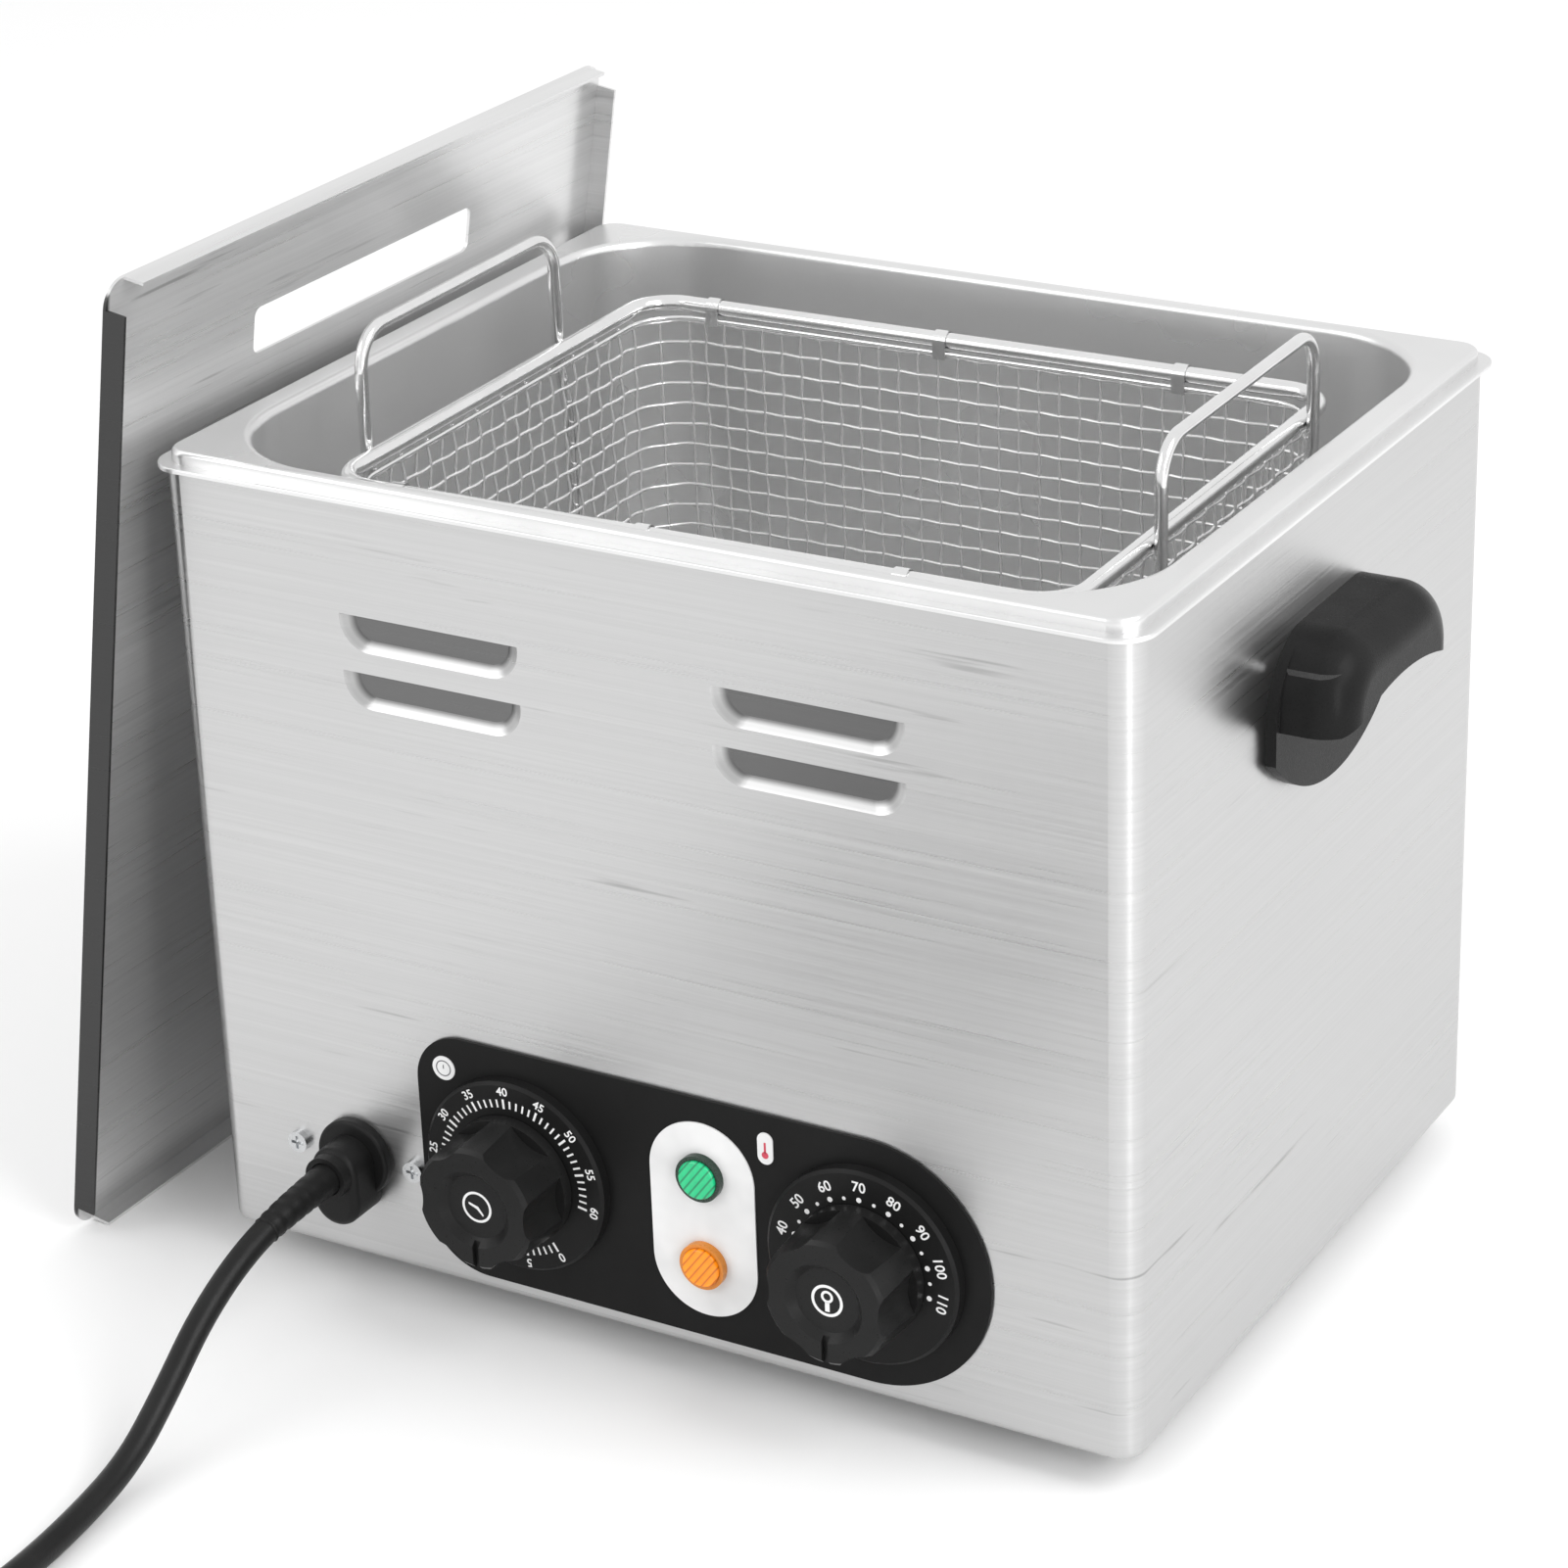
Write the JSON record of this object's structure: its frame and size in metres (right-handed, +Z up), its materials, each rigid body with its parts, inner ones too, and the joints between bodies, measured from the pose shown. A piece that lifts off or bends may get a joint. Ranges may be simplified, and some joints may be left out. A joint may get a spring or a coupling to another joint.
{
  "type": "egg boiler",
  "caption": "Countertop egg boiler: brushed steel tank in a folded casing, timer and thermostat knobs on a dark panel, lift-out wire basket, leaning lid, side handle.",
  "frame": {"origin": "on the worktop, in the casing's plane of the rubber feet, below the middle of the casing", "axes": "+X to the object's right seen from the front, +Y from the control panel to the back, +Z up"},
  "size_m": [0.3998, 0.6099, 0.33],
  "materials": {
    "brushed_stainless": "fine horizontal brushed grain, satin",
    "satin_stainless": "drawn satin",
    "bright_wire": "bright polished wire",
    "panel_black": "satin black film on a thin plate",
    "label_white": "satin pale film",
    "dial_black": "satin black",
    "knob_black": "moulded, semi gloss",
    "handle_black": "fine satin texture",
    "lamp_green": "translucent ribbed",
    "lamp_orange": "translucent ribbed",
    "bezel_dark": "semi gloss",
    "bezel_orange": "semi gloss",
    "cord_black": "satin flexible sheath",
    "foot_rubber": "matte",
    "zinc_screw": "zinc plated",
    "aluminium": "rolled",
    "element_sheath": "heat-tinted sheath",
    "case_plastic": "moulded",
    "lead_blue": "insulated lead",
    "copper": "drawn copper",
    "pin_brass": "bright"
  },
  "bodies": {
    "housing": {"back_panel": "brushed_stainless", "back_panel_screws": "zinc_screw", "base_plate": "satin_stainless", "base_screws": "zinc_screw", "bulb_clips": "zinc_screw", "capillary_tube": "copper", "casing_wrap": "brushed_stainless", "clamp_nuts": "zinc_screw", "clamp_studs": "zinc_screw", "control_panel": "panel_black", "cord_boot": "cord_black", "cord_coil": "cord_black", "cord_tie": "cord_black", "earth_stud": "pin_brass", "element_clamps": "zinc_screw", "foot_nuts": "zinc_screw", "foot_screws": "zinc_screw", "handle_nuts": "zinc_screw", "handle_screws": "zinc_screw", "heat_lamp_body": "bezel_orange", "heat_lamp_lens": "lamp_orange", "heat_spreader": "aluminium", "heating_element": "element_sheath", "inlet_clamp": "zinc_screw", "inlet_nuts": "zinc_screw", "inlet_screws": "zinc_screw", "internal_leads": "lead_blue", "label_plate": "label_white", "lamp_nuts": "case_plastic", "panel_badges": "label_white", "plug_body": "cord_black", "plug_pins": "pin_brass", "power_cord": "cord_black", "power_lamp_body": "bezel_dark", "power_lamp_lens": "lamp_green", "rubber_feet": "foot_rubber", "side_handle": "handle_black", "terminal_block": "case_plastic", "terminal_screws": "zinc_screw", "thermal_cutout": "case_plastic", "thermostat_body": "case_plastic", "thermostat_bulb": "copper", "thermostat_dial": "dial_black", "thermostat_screws": "zinc_screw", "timer_body": "case_plastic", "timer_dial": "dial_black", "timer_screws": "zinc_screw", "water_tank": "satin_stainless"},
    "timer_knob": {"timer_knob": "knob_black", "timer_shaft": "zinc_screw"},
    "thermostat_knob": {"thermostat_knob": "knob_black", "thermostat_shaft": "zinc_screw"},
    "basket": {"basket_mesh": "bright_wire", "basket_rim": "bright_wire", "basket_band": "bright_wire", "basket_handle_left": "bright_wire", "basket_handle_right": "bright_wire"},
    "lid": {"lid": "brushed_stainless"}
  },
  "joints": [
    {"name": "timer_turn", "type": "hinge", "parent": "housing", "child": "timer_knob", "pos_m": [-0.0455, -0.1433, 0.0585], "axis": [0, 1, 0], "range_deg": [-34, 281]},
    {"name": "thermostat_turn", "type": "hinge", "parent": "housing", "child": "thermostat_knob", "pos_m": [0.0753, -0.1433, 0.0585], "axis": [0, 1, 0], "range_deg": [0, 280]},
    {"name": "basket_lift", "type": "slide", "parent": "housing", "child": "basket", "axis": [0, 0, 1], "range_m": [0, 0.22]},
    {"name": "lid_lift", "type": "slide", "parent": "housing", "child": "lid", "axis": [0, 0, 1], "range_m": [0, 0.3]}
  ]
}
